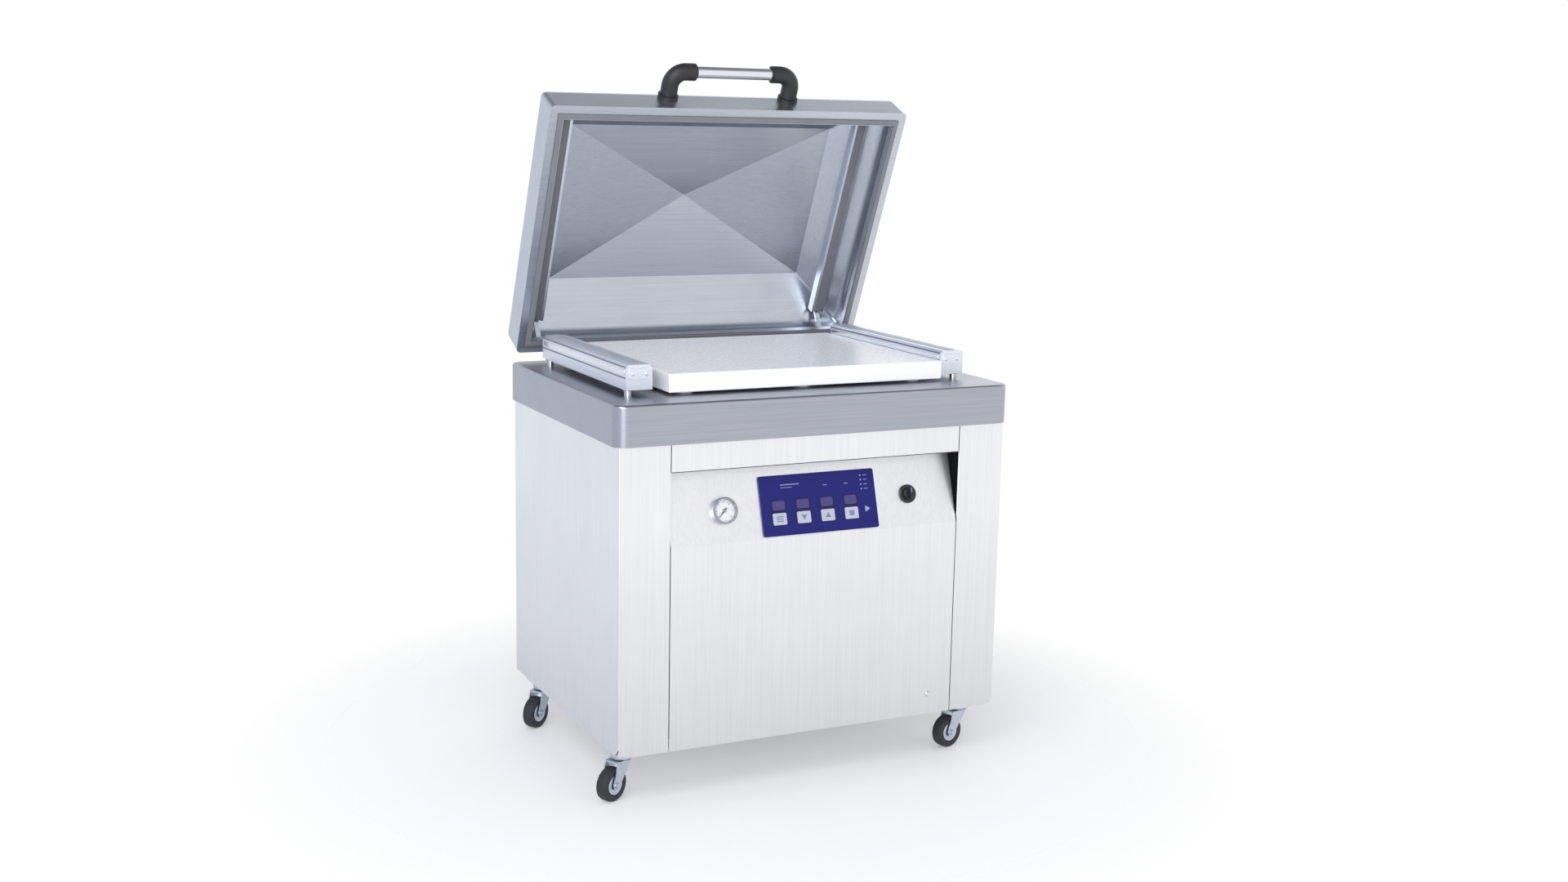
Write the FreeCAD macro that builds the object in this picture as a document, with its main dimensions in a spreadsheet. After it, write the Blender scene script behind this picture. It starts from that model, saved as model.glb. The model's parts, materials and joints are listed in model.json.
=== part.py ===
import FreeCAD, Part
import Sketcher
import math
import os
import re

# Floor-standing vacuum packing machine with its lid open.
# Millimetres, +Z up, the front faces -Y, the floor is at z = 0.
# Every Y below is measured from the hinge-to-front middle of the deck and moved by origin_shift, so that
# the open machine stands over the origin.

DRIVING = {
    # chamber deck
    "deck_width": 956, "deck_front": -357, "deck_rear": 348, "deck_top": 878, "band_height": 88,
    "deck_corner": 28, "band_gauge": 3, "deck_plate": 8, "origin_shift": -53.5,
    # cabinet
    "cab_half": 469, "cab_front": -349, "cab_rear": 338, "cab_bottom": 119, "gauge": 2,
    "pillar": 117, "header_tall": 61, "lean_tall": 162, "lean_depth": 50, "seam": 2, "foot_cut": 20,
    # lid, described closed
    "hinge_y": 364, "hinge_z": 868, "open_angle": 66, "lid_half": 455, "lid_front": -300, "lid_rear": 340,
    "rim_gap": 4, "lid_deep": 84, "lid_rise": 118, "lid_gauge": 2.5, "hip_wide": 112, "hip_rise": 72, "lid_corner": 12,
    "eaves_round": 30, "frame_tall": 14, "frame_wide": 34,
    "seal_inset": 20, "seal_wide": 14, "seal_groove": 9,
    # sealing bars
    "bar_x": 385, "bar_wide": 60, "bar_front": -250, "bar_rear": 288, "bar_under": 14, "bar_tall": 54,
    "post_x": 403,
    "tape_wide": 24, "tape_tall": 2, "post_radius": 8, "post_front": -230, "post_rear": 268,
    "piston_radius": 16, "running": 0.06, "free": 0.3, "counter_lift": 80, "counter_wide": 34,
    "counter_tall": 24, "counter_inset": 40, "pad_wide": 20, "pad_tall": 6,
    # filler plate
    "plate_left": -322, "plate_right": 352, "plate_front": -263, "plate_rear": 298, "plate_thick": 41,
    "plate_foot": 6,
    # lid suspension
    "hinge_x": 300, "pin_radius": 6, "boss_radius": 12, "arm_thick": 12, "lever_reach": 55,
    "lever_pin": 4, "rod_radius": 5, "rod_y": 414.5, "tube_radius": 14, "tube_bore": 12,
    "tube_low": 600, "tube_high": 800,
    # handle
    "handle_base": 154, "handle_out": 64, "handle_bend": 34, "handle_end": 98, "handle_z": 941,
    "elbow_radius": 20, "grip_radius": 14,
    # controls, placed on the leaning zone
    "panel_x": 8, "panel_up": 71, "panel_wide": 284, "panel_tall": 132, "panel_thick": 4,
    "key_first": -100, "key_pitch": 59, "key_up": -29.5, "key_wide": 33, "key_tall": 26, "key_proud": 2,
    "gauge_x": -221, "gauge_up": 70, "gauge_radius": 29, "gauge_proud": 13,
    "knob_x": 233, "knob_up": 73, "knob_base": 21, "knob_radius": 14, "knob_proud": 22,
    # casters
    "caster_x": 428, "caster_front": -263, "caster_rear": 255, "wheel_radius": 37.5, "hub_radius": 28,
    "wheel_wide": 27, "trail": 32, "leg_gap": 16, "leg_gauge": 2.5, "crown_z": 84.5, "race_z": 88.5,
    "plate_z": 109, "plate_gauge": 4, "kingpin": 6, "axle": 4, "caster_plate_size": 66,
    # works inside the cabinet
    "pan_z": 121, "pan_gauge": 3, "pump_long": 300, "pump_wide": 220, "pump_tall": 210,
    "motor_radius": 84, "motor_long": 210, "hose_radius": 21,
}

DOC = FreeCAD.newDocument("vacuum_packing_machine")
SHEET = DOC.addObject("Spreadsheet::Sheet", "dims")
for row, (alias, number) in enumerate(DRIVING.items(), start=1):
    SHEET.set(f"A{row}", alias)
    SHEET.set(f"B{row}", str(number))
    SHEET.setAlias(f"B{row}", alias)
DOC.recompute()

ALIAS = re.compile(r"\b(" + "|".join(sorted(DRIVING, key=len, reverse=True)) + r")\b")
PIECES = []


def bound(text):
    """The expression with each sheet name turned into a reference to its cell."""
    return ALIAS.sub(r"dims.\1", str(text))


def size(text):
    """The present value of an expression in millimetres."""
    return float(SHEET.evalExpression(bound(text)))


def vector(x, y, z):
    return FreeCAD.Vector(size(x), size(y), size(z))


def piece(item):
    """Keep an object as a sub-part that is written out under its label."""
    PIECES.append(item)
    return item


def place(item, x, y, z, turn=0, about=(0, 0, 1)):
    """Bind an object's position to the sheet, with a fixed turn about a direction."""
    item.Placement = FreeCAD.Placement(vector(x, y, z), FreeCAD.Rotation(FreeCAD.Vector(*about), turn))
    for axis, text in zip("xyz", (x, y, z)):
        item.setExpression("Placement.Base." + axis, bound(text))
    return item


class Body:
    """A PartDesign body whose sketches and lengths are bound to the sheet."""

    def __init__(self, name):
        self.name = name
        self.item = DOC.addObject("PartDesign::Body", name)
        self.item.Label = name
        self.steps = 0

    def sketch(self, plane, offset):
        """An empty sketch on an origin plane, moved along the plane's own normal."""
        self.steps += 1
        origin = [part for part in self.item.Origin.OriginFeatures if part.Role == plane + "_Plane"][0]
        sketch = self.item.newObject("Sketcher::SketchObject", f"{self.name}_sketch_{self.steps}")
        sketch.AttachmentSupport = [(origin, "")]
        sketch.MapMode = "FlatFace"
        sketch.setExpression("AttachmentOffset.Base.z", bound(offset))
        return sketch

    def feature(self, kind, sketch):
        made = self.item.newObject("PartDesign::" + kind, f"{self.name}_{kind}_{self.steps}")
        made.Profile = sketch
        return made

    def extrude(self, kind, plane, low, high, outlines):
        """Pad or pocket outlines between two places along the plane's axis."""
        before = self.volume()
        offset = f"-({high})" if plane == "XZ" else low
        sketch = self.sketch(plane, offset)
        for draw, details in outlines:
            draw(sketch, *details)
        made = self.feature(kind, sketch)
        made.setExpression("Length", bound(f"({high}) - ({low})"))
        made.Reversed = kind == "Pocket"
        DOC.recompute()
        grown = self.volume() > before
        if grown != (kind == "Pad"):
            raise RuntimeError(f"{self.name}: step {self.steps} did not change the solid as meant")
        return self

    def pad(self, plane, low, high, *outlines):
        return self.extrude("Pad", plane, low, high, outlines)

    def pocket(self, plane, low, high, *outlines):
        return self.extrude("Pocket", plane, low, high, outlines)

    def revolve(self, plane, axis, points):
        """Turn a closed outline through a full circle about the sketch's H or V axis."""
        sketch = self.sketch(plane, "0")
        polygon(sketch, points)
        made = self.feature("Revolution", sketch)
        made.ReferenceAxis = (sketch, [axis + "_Axis"])
        made.Angle = 360
        DOC.recompute()
        return self

    def soften(self, kind, radius, wanted):
        """Fillet or chamfer the edges that the test picks."""
        shape = self.item.Shape
        names = [f"Edge{n}" for n, edge in enumerate(shape.Edges, start=1) if wanted(edge)]
        grown_on = self.item.Tip
        made = self.item.newObject("PartDesign::" + kind, f"{self.name}_{kind}_{self.steps}")
        made.Base = (grown_on, names)
        made.setExpression("Radius" if kind == "Fillet" else "Size", bound(radius))
        self.item.Tip = made
        DOC.recompute()
        if not self.item.Shape.isValid() or self.item.Shape.isNull():
            raise RuntimeError(f"{self.name}: the {kind} failed")
        return self

    def volume(self):
        shape = self.item.Shape
        return 0.0 if shape.isNull() else shape.Volume


def hold(sketch, index, end, x, y):
    """Fix one end of a sketch line by distances that are bound to the sheet."""
    for kind, text in (("DistanceX", x), ("DistanceY", y)):
        number = sketch.addConstraint(Sketcher.Constraint(kind, -1, 1, index, end, size(text)))
        sketch.setExpression(f"Constraints[{number}]", bound(text))


def polygon(sketch, points):
    """A closed outline of straight lines through points given as expressions."""
    first = sketch.GeometryCount
    places = [FreeCAD.Vector(size(x), size(y), 0) for x, y in points]
    count = len(points)
    for step in range(count):
        sketch.addGeometry(Part.LineSegment(places[step], places[(step + 1) % count]), False)
    for step in range(count):
        following = first + (step + 1) % count
        sketch.addConstraint(Sketcher.Constraint("Coincident", first + step, 2, following, 1))
        hold(sketch, first + step, 1, *points[step])


def rectangle(sketch, left, right, low, high):
    polygon(sketch, [(left, low), (right, low), (right, high), (left, high)])


def circle(sketch, x, y, radius):
    place_now = FreeCAD.Vector(size(x), size(y), 0)
    number = sketch.addGeometry(Part.Circle(place_now, FreeCAD.Vector(0, 0, 1), size(radius)), False)
    hold(sketch, number, 3, x, y)
    count = sketch.addConstraint(Sketcher.Constraint("Radius", number, size(radius)))
    sketch.setExpression(f"Constraints[{count}]", bound(radius))


def upright(edge):
    """A straight vertical edge."""
    box = edge.BoundBox
    return box.XLength < 0.01 and box.YLength < 0.01


def box(name, left, right, front, rear, low, high):
    """A block between two corners."""
    made = DOC.addObject("Part::Box", name)
    made.setExpression("Length", bound(f"({right}) - ({left})"))
    made.setExpression("Width", bound(f"({rear}) - ({front})"))
    made.setExpression("Height", bound(f"({high}) - ({low})"))
    return place(made, left, front, low)


def cylinder(name, radius, length, x, y, z, turn=0, about=(0, 0, 1)):
    """A round bar that starts at a point and runs along +Z, or along the turned axis."""
    made = DOC.addObject("Part::Cylinder", name)
    made.setExpression("Radius", bound(radius))
    made.setExpression("Height", bound(length))
    return place(made, x, y, z, turn, about)


def fuse(name, items):
    made = DOC.addObject("Part::MultiFuse", name)
    made.Shapes = items
    made.Refine = True
    return made


def cut(name, base, tool):
    made = DOC.addObject("Part::Cut", name)
    made.Base = base
    made.Tool = tool
    return made


def group(name, items):
    """Separate solids that share one node."""
    made = DOC.addObject("Part::Compound", name)
    made.Links = items
    return made


SIDES = {"left": -1, "right": 1}
ALONG_X = (90, (0, 1, 0))
ALONG_Y = (-90, (1, 0, 0))


# ---------------------------------------------------------------- cabinet

def stand(item):
    """Put a piece that is drawn about the deck's middle in the machine's frame."""
    return piece(place(item, "0", "origin_shift", "0"))


def make_base_pan():
    """Bottom tray with pads for the casters and slots that cool the pump."""
    inner = "cab_half - gauge - 1"
    front = "cab_front + gauge + 1"
    rear = "cab_rear - gauge - 1"
    pan = Body("base_pan")
    pan.pad("XY", "pan_z", "pan_z + 25", (rectangle, (f"-({inner})", inner, front, rear)))
    pan.pocket("XY", "pan_z + pan_gauge", "pan_z + 26",
               (rectangle, (f"-({inner}) + pan_gauge", f"{inner} - pan_gauge",
                            f"{front} + pan_gauge", f"{rear} - pan_gauge")))
    half = "caster_plate_size/2 + 3"
    pads = [(rectangle, (f"{side}*caster_x - ({half})", f"{side}*caster_x + {half}",
                         f"{depth} - ({half})", f"{depth} + {half}"))
            for side in (-1, 1) for depth in ("caster_front", "caster_rear")]
    pan.pad("XY", "plate_z + plate_gauge", "pan_z + 1", *pads)
    slots = [(rectangle, ("-60", "60", f"{start}", f"{start} + 12")) for start in range(-90, 91, 30)]
    pan.pocket("XY", "pan_z - 1", "pan_z + pan_gauge + 1", *slots)
    stand(pan.item)


def make_side_panel(name, side):
    """Side sheet bent round the front into a pillar and round the back into a flange."""
    outer = f"{side}*cab_half"
    inner = f"{side}*(cab_half - gauge)"
    edge = f"{side}*(cab_half - pillar + seam/2)"
    lip = f"{side}*(cab_half - 30)"
    panel = Body(name)
    panel.pad("XY", "cab_bottom", "deck_top - band_height",
              (polygon, ([(outer, "cab_front"), (outer, "cab_rear"), (lip, "cab_rear"),
                          (lip, "cab_rear - gauge"), (inner, "cab_rear - gauge"),
                          (inner, "cab_front + gauge"), (edge, "cab_front + gauge"),
                          (edge, "cab_front")],)))
    outer_x = size(outer)
    panel.soften("Fillet", "3.5", lambda edge: upright(edge) and abs(edge.BoundBox.XMin - outer_x) < 0.01)
    low = "cab_bottom"
    beyond = f"{side}*(cab_half + 1)"
    panel.pocket("XZ", "cab_front - 1", "cab_front + gauge",
                 (polygon, ([(beyond, f"{low} - 1"), (beyond, f"{low} + foot_cut"),
                             (f"{side}*(cab_half - foot_cut)", f"{low} - 1")],)))
    ends = sorted(("cab_half - gauge - 1", "cab_half + 1"), key=size)
    span = [f"{side}*({end})" for end in ends]
    span.sort(key=size)
    panel.pocket("YZ", span[0], span[1],
                 (polygon, ([("cab_front - 1", f"{low} - 1"), ("cab_front - 1", f"{low} + foot_cut"),
                             ("cab_front + foot_cut", f"{low} - 1")],)))
    stand(panel.item)


def make_rear_panel():
    """Back sheet with two blocks of louvre slots and the hole for the mains inlet."""
    panel = Body("rear_panel")
    edge = "cab_half - 32"
    panel.pad("XZ", "cab_rear - gauge", "cab_rear",
              (rectangle, (f"-({edge})", edge, "cab_bottom", "deck_top - band_height")))
    slots = [(rectangle, (f"{start}", f"{start} + 110", f"{height}", f"{height} + 8"))
             for start in (-180, 70) for height in range(200, 361, 20)]
    panel.pocket("XZ", "cab_rear - gauge - 1", "cab_rear + 1",
                 *slots, (circle, ("350", "180", "10")))
    stand(panel.item)


def make_front_header():
    """Strip across the top of the front, folded in along its lower edge."""
    half = "cab_half - pillar - seam/2"
    low = "deck_top - band_height - header_tall"
    header = Body("front_header")
    header.pad("YZ", f"-({half})", half,
               (polygon, ([("cab_front", low), ("cab_front + lean_depth", low),
                           ("cab_front + lean_depth", f"{low} + gauge"),
                           ("cab_front + gauge", f"{low} + gauge"),
                           ("cab_front + gauge", "deck_top - band_height"),
                           ("cab_front", "deck_top - band_height")],)))
    stand(header.item)


LEAN_TOP = "deck_top - band_height - header_tall - seam"
LEAN_FOOT = "deck_top - band_height - header_tall - lean_tall"


def make_front_panel():
    """Lower front sheet whose upper zone leans inwards; it has the holes for the controls."""
    half = "cab_half - pillar - seam/2"
    back = "cab_front + gauge"
    panel = Body("front_panel")
    panel.pad("YZ", f"-({half})", half,
              (polygon, ([("cab_front", "cab_bottom"), ("cab_front", LEAN_FOOT),
                          ("cab_front + lean_depth", LEAN_TOP),
                          (f"{back} + lean_depth", LEAN_TOP), (back, LEAN_FOOT),
                          (back, "cab_bottom + gauge"), ("cab_front + 20", "cab_bottom + gauge"),
                          ("cab_front + 20", "cab_bottom")],)))
    hole = [(circle, (x, z, radius)) for x, z, radius in (
        ("gauge_x", f"{LEAN_FOOT} + gauge_up*0.955", "gauge_radius - 4"),
        ("knob_x", f"{LEAN_FOOT} + knob_up*0.955", "knob_base - 6"))]
    window = (rectangle, ("panel_x - panel_wide/2 + 12", "panel_x + panel_wide/2 - 12",
                          f"{LEAN_FOOT} + (panel_up - panel_tall/2 + 12)*0.955",
                          f"{LEAN_FOOT} + (panel_up + panel_tall/2 - 12)*0.955"))
    panel.pocket("XZ", "cab_front - 1", "cab_front + lean_depth + 10", window, *hole)
    stand(panel.item)


# ---------------------------------------------------------------- deck, filler plate and sealing bars

def make_chamber_deck():
    """Inverted tray: a thick top with a deep rounded band, and bores for the sealing bar posts."""
    half = "deck_width/2"
    low = "deck_top - band_height"
    deck = Body("chamber_deck")
    deck.pad("XY", low, "deck_top", (rectangle, (f"-({half})", half, "deck_front", "deck_rear")))
    deck.soften("Fillet", "deck_corner", upright)
    top = size("deck_top")
    deck.soften("Fillet", "6", lambda edge: abs(edge.BoundBox.ZMin - top) < 0.01
                and edge.BoundBox.ZLength < 0.01)
    inset = "band_gauge + 6"
    side = f"{half} - ({inset})"
    near, far = "deck_front + band_gauge", "deck_rear - band_gauge"
    deck.pocket("XY", f"{low} - 1", "deck_top - deck_plate",
                (polygon, ([(f"-({side}) + deck_corner", near), (f"{side} - deck_corner", near),
                            (side, f"{near} + deck_corner"), (side, f"{far} - deck_corner"),
                            (f"{side} - deck_corner", far), (f"-({side}) + deck_corner", far),
                            (f"-({side})", f"{far} - deck_corner"),
                            (f"-({side})", f"{near} + deck_corner")],)))
    bores = [(circle, (f"{side}*post_x", depth, "post_radius + free"))
             for side in (-1, 1) for depth in ("post_front", "post_rear")]
    port = (circle, ("0", "313", "14"))
    deck.pocket("XY", "deck_top - deck_plate - 1", "deck_top + 1", port, *bores)
    stand(deck.item)


def make_filler_plate():
    """Thick loose plate that raises the pack to the sealing bars, on six low feet."""
    base = "deck_top + plate_foot"
    plate = Body("filler_plate")
    plate.pad("XY", base, f"{base} + plate_thick",
              (rectangle, ("plate_left", "plate_right", "plate_front", "plate_rear")))
    plate.soften("Fillet", "3", lambda edge: True)
    feet = [(circle, (f"(plate_left + plate_right)/2 + {step}*(plate_right - plate_left)*0.42", depth, "18"))
            for step in (-1, 0, 1) for depth in ("plate_front + 45", "plate_rear - 45")]
    plate.pad("XY", "deck_top", f"{base} + 1", *feet)
    stand(plate.item)


def make_seal_bar(name, side):
    """Sealing bar with bevelled upper edges; the tape lies in a shallow seat on top."""
    left = f"{side}*bar_x - bar_wide/2"
    right = f"{side}*bar_x + bar_wide/2"
    low = "deck_top + bar_under"
    top = f"{low} + bar_tall"
    bar = Body("seal_bar_" + name)
    bar.pad("XZ", "bar_front", "bar_rear",
            (polygon, ([(left, low), (right, low), (right, f"{top} - 6"), (f"{right} - 6", top),
                        (f"{left} + 6", top), (left, f"{top} - 6")],)))
    stand(bar.item)
    tape = Body("seal_tape_" + name)
    edge = f"{side}*bar_x - tape_wide/2"
    far = f"{side}*bar_x + tape_wide/2"
    tape.pad("XZ", "bar_front + 6", "bar_rear - 6",
             (polygon, ([(edge, top), (far, top), (far, f"{top} + 0.8"), (f"{far} - 9", f"{top} + tape_tall"),
                         (f"{edge} + 9", f"{top} + tape_tall"), (edge, f"{top} + 0.8")],)))
    stand(tape.item)


def make_seal_posts(name, side):
    """Two lifting posts for one bar, each with a piston at its foot."""
    foot = "deck_top - 60"
    posts = []
    for place_name in ("front", "rear"):
        label = f"seal_post_{name}_{place_name}"
        stem = cylinder(label + "_stem", "post_radius", f"bar_under - ({foot}) + deck_top",
                        f"{side}*post_x", f"post_{place_name}", foot)
        piston = cylinder(label + "_piston", "piston_radius", "14",
                          f"{side}*post_x", f"post_{place_name}", foot)
        posts.append(fuse(label, [stem, piston]))
    stand(group("seal_posts_" + name, posts))


def make_seal_cylinders():
    """Four pneumatic cylinders under the deck that lift the sealing bars."""
    barrels = []
    for name, side in SIDES.items():
        for place_name in ("front", "rear"):
            label = f"seal_cylinder_{name}_{place_name}"
            spot = (f"{side}*post_x", f"post_{place_name}")
            barrel = cylinder(label + "_barrel", "piston_radius + 7", "74 - deck_plate",
                              *spot, "deck_top - 74")
            bore = cylinder(label + "_bore", "piston_radius + free", "48", *spot, "deck_top - 66")
            guide = cylinder(label + "_guide", "post_radius + free", "74", *spot, "deck_top - 66")
            barrels.append(cut(label, barrel, fuse(label + "_hollow", [bore, guide])))
    stand(group("seal_cylinders", barrels))


# ---------------------------------------------------------------- lid, drawn closed and then opened

RIM = "deck_top + rim_gap"


def open_lid(item):
    """Turn a lid piece from closed to open about the hinge and keep it."""
    pivot = vector("0", "hinge_y", "hinge_z")
    turn = FreeCAD.Rotation(FreeCAD.Vector(1, 0, 0), -size("open_angle"))
    opened = FreeCAD.Placement(FreeCAD.Vector(0, size("origin_shift"), 0), turn, pivot)
    item.Placement = opened
    return piece(item)


def make_lid_frame():
    """Rim of the lid: a flat ring with a groove for the seal."""
    inner = "lid_half - frame_wide"
    frame = Body("lid_frame")
    frame.pad("XY", RIM, f"{RIM} + frame_tall", (rectangle, ("-lid_half", "lid_half", "lid_front", "lid_rear")))
    frame.soften("Fillet", "lid_corner", upright)
    frame.pocket("XY", f"{RIM} - 1", f"{RIM} + frame_tall + 1",
                 (rectangle, (f"-({inner})", inner, "lid_front + frame_wide", "lid_rear - frame_wide")))
    outer = "seal_inset - free"
    inside = "seal_inset + seal_wide"
    frame.pocket("XY", f"{RIM} - 1", f"{RIM} + seal_groove",
                 (rectangle, (f"-lid_half + {outer}", f"lid_half - ({outer})",
                              f"lid_front + {outer}", f"lid_rear - ({outer})")),
                 (rectangle, (f"-lid_half + {inside} - 2", f"lid_half - ({inside}) + 2",
                              f"lid_front + {inside} - 2", f"lid_rear - ({inside}) + 2")))
    open_lid(frame.item)


def make_lid_seal():
    """Soft ring that stands proud of the rim and meets the deck."""
    inside = "seal_inset + seal_wide - 2.4"
    ring = Body("lid_seal")
    ring.pad("XY", "deck_top + free", f"{RIM} + seal_groove - free",
             (rectangle, ("-lid_half + seal_inset", "lid_half - seal_inset",
                          "lid_front + seal_inset", "lid_rear - seal_inset")),
             (rectangle, (f"-lid_half + {inside}", f"lid_half - ({inside})",
                          f"lid_front + {inside}", f"lid_rear - ({inside})")))
    open_lid(ring.item)


def roof(inset, base, apex):
    """Solid with upright walls, a sloping hip band above them and four shallow facets that meet at a point."""
    half = size(f"lid_half - {inset}")
    front = size(f"lid_front + {inset}")
    rear = size(f"lid_rear - ({inset})")
    eaves = size(f"{RIM} + lid_deep - ({inset})*0.4")

    def ring(inward, height):
        across = half - inward
        corners = [(-across, front + inward), (across, front + inward),
                   (across, rear - inward), (-across, rear - inward)]
        return [FreeCAD.Vector(x, y, height) for x, y in corners]

    rings = [ring(0, size(base)), ring(0, eaves), ring(size("hip_wide"), eaves + size("hip_rise"))]
    tip = FreeCAD.Vector(0, (front + rear)/2, size(apex))
    faces = [Part.Face(Part.makePolygon(rings[0] + rings[0][:1]))]
    for step in range(4):
        following = (step + 1) % 4
        for below, above in zip(rings, rings[1:]):
            strip = [below[step], below[following], above[following], above[step], below[step]]
            faces.append(Part.Face(Part.makePolygon(strip)))
        facet = [rings[2][step], rings[2][following], tip, rings[2][step]]
        faces.append(Part.Face(Part.makePolygon(facet)))
    closed = Part.makeSolid(Part.makeShell(faces))
    return Part.makeSolid(closed.Shells[0])


def make_lid_shell():
    """Sheet cover: walls that stand on the rim, a hip band and a top creased along both diagonals."""
    seat = f"{RIM} + frame_tall"
    peak = f"{RIM} + lid_deep + lid_rise"
    skins = []
    for inset, low, high in (("0", seat, peak), ("lid_gauge", f"{seat} - 1", f"{peak} - lid_gauge")):
        skin = roof(inset, low, high)
        eaves = size(f"{RIM} + lid_deep - ({inset})*0.4")
        level = [edge for edge in skin.Edges
                 if edge.BoundBox.ZLength < 0.01 and abs(edge.BoundBox.ZMin - eaves) < 0.01]
        skin = skin.makeFillet(size(f"eaves_round - {inset}"), level)
        skin = skin.makeFillet(size(f"lid_corner - {inset}"), [edge for edge in skin.Edges if upright(edge)])
        skins.append(skin)
    shell = DOC.addObject("Part::Feature", "lid_shell")
    shell.Shape = skins[0].cut(skins[1])
    open_lid(shell)


def make_counter_bar(name, side):
    """Channel across the lid that backs the sealing bar, with its soft pad."""
    face = "deck_top + counter_lift"
    left = f"{side}*bar_x - counter_wide/2"
    right = f"{side}*bar_x + counter_wide/2"
    seat = f"{side}*bar_x - pad_wide/2"
    far = f"{side}*bar_x + pad_wide/2"
    bar = Body("counter_bar_" + name)
    bar.pad("XZ", "lid_front + counter_inset", "lid_rear - counter_inset",
            (polygon, ([(left, f"{face} + 2"), (f"{seat} - free", f"{face} + 2"),
                        (f"{seat} - free", f"{face} + pad_tall"), (f"{far} + free", f"{face} + pad_tall"),
                        (f"{far} + free", f"{face} + 2"), (right, f"{face} + 2"),
                        (right, f"{face} + counter_tall"), (left, f"{face} + counter_tall")],)))
    for wall, way in (("lid_front + lid_gauge", 1), ("lid_rear - lid_gauge", -1)):
        end = f"{wall} + {way}*(counter_inset - lid_gauge)"
        bar.pad("YZ", f"{side}*bar_x - 6", f"{side}*bar_x + 6",
                (polygon, ([(wall, f"{face} - 40"), (wall, f"{face} - 24"),
                            (f"{end} + {way}*8", f"{face} + counter_tall - 2"),
                            (f"{end} + {way}*8", f"{face} + pad_tall + 1"), (end, f"{face} + pad_tall + 1")],)))
    open_lid(bar.item)
    pad = Body("counter_pad_" + name)
    pad.pad("XZ", "lid_front + counter_inset + 3", "lid_rear - counter_inset - 3",
            (rectangle, (seat, far, face, f"{face} + pad_tall")))
    open_lid(pad.item)


def make_handle():
    """Tube grip held by two elbow brackets on the lid's front wall."""
    grip_y = "lid_front - handle_out"
    for name, side in SIDES.items():
        label = "handle_bracket_" + name
        foot = cylinder(label + "_foot", "elbow_radius + 4", "8",
                        f"{side}*handle_base", "lid_front", "handle_z", 90, (1, 0, 0))
        stem = cylinder(label + "_stem", "elbow_radius", "handle_out - handle_bend",
                        f"{side}*handle_base", "lid_front", "handle_z", 90, (1, 0, 0))
        bend = DOC.addObject("Part::Torus", label + "_bend")
        bend.setExpression("Radius1", bound("handle_bend"))
        bend.setExpression("Radius2", bound("elbow_radius"))
        bend.Angle3 = 90
        place(bend, f"{side}*(handle_base - handle_bend)", f"{grip_y} + handle_bend", "handle_z",
              -90 if side > 0 else 180)
        reach = "handle_base - handle_bend - handle_end"
        start = f"{side}*(handle_base - handle_bend)" if side < 0 else "handle_end"
        cup = cylinder(label + "_cup", "elbow_radius", reach, start, grip_y, "handle_z", *ALONG_X)
        hollow = cylinder(label + "_hollow", "grip_radius + 0.2", f"{reach} - 3",
                          f"{start} + {3 if side < 0 else -0.01}", grip_y, "handle_z", *ALONG_X)
        open_lid(cut(label, fuse(label + "_solid", [foot, stem, bend, cup]), hollow))
    inset = "handle_base - handle_bend - 4"
    tube = cylinder("handle_tube_outer", "grip_radius", f"2*({inset})", f"-({inset})",
                    grip_y, "handle_z", *ALONG_X)
    bore = cylinder("handle_tube_bore", "grip_radius - 2", f"2*({inset}) + 2", f"-({inset}) - 1",
                    grip_y, "handle_z", *ALONG_X)
    open_lid(cut("handle_tube", tube, bore))


# ---------------------------------------------------------------- hinges and gas springs

def make_hinge_arm(name, side):
    """Arm on the lid's rear wall: a knuckle at the hinge pin and a lever behind it."""
    middle = f"{side}*hinge_x"
    half = "arm_thick/2"
    swing = math.radians(size("open_angle")/2)
    across, rise = math.cos(swing), math.sin(swing)
    end_y = f"hinge_y + lever_reach*{across}"
    end_z = f"hinge_z + lever_reach*{rise}"
    arm = Body("hinge_arm_" + name)
    arm.pad("YZ", f"{middle} - 25", f"{middle} + 25",
            (rectangle, ("lid_rear", "lid_rear + 6", "hinge_z + 24", "hinge_z + 82")))
    arm.pad("YZ", f"{middle} - {half}", f"{middle} + {half}",
            (polygon, ([("lid_rear + 5", "hinge_z + 24"), ("hinge_y - 12", "hinge_z + 12"),
                        ("hinge_y - 12", "hinge_z"), (f"hinge_y + 12*{rise}", f"hinge_z - 12*{across}"),
                        (f"{end_y} + 10*{rise}", f"{end_z} - 10*{across}"),
                        (f"{end_y} - 10*{rise}", f"{end_z} + 10*{across}"),
                        ("hinge_y + 4", "hinge_z + 14"), ("lid_rear + 15", "hinge_z + 82"),
                        ("lid_rear + 5", "hinge_z + 82")],)))
    arm.pad("YZ", f"{middle} - {half}", f"{middle} + {half}", (circle, ("hinge_y", "hinge_z", "boss_radius")))
    arm.pad("YZ", f"{middle} - {half}", f"{middle} + {half}", (circle, (end_y, end_z, "10")))
    arm.pad("YZ", f"{middle} - 12.5", f"{middle} + 12.5", (circle, (end_y, end_z, "lever_pin")))
    arm.pocket("YZ", f"{middle} - 30", f"{middle} + 30",
               (circle, ("hinge_y", "hinge_z", "pin_radius + running")))
    open_lid(arm.item)


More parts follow.
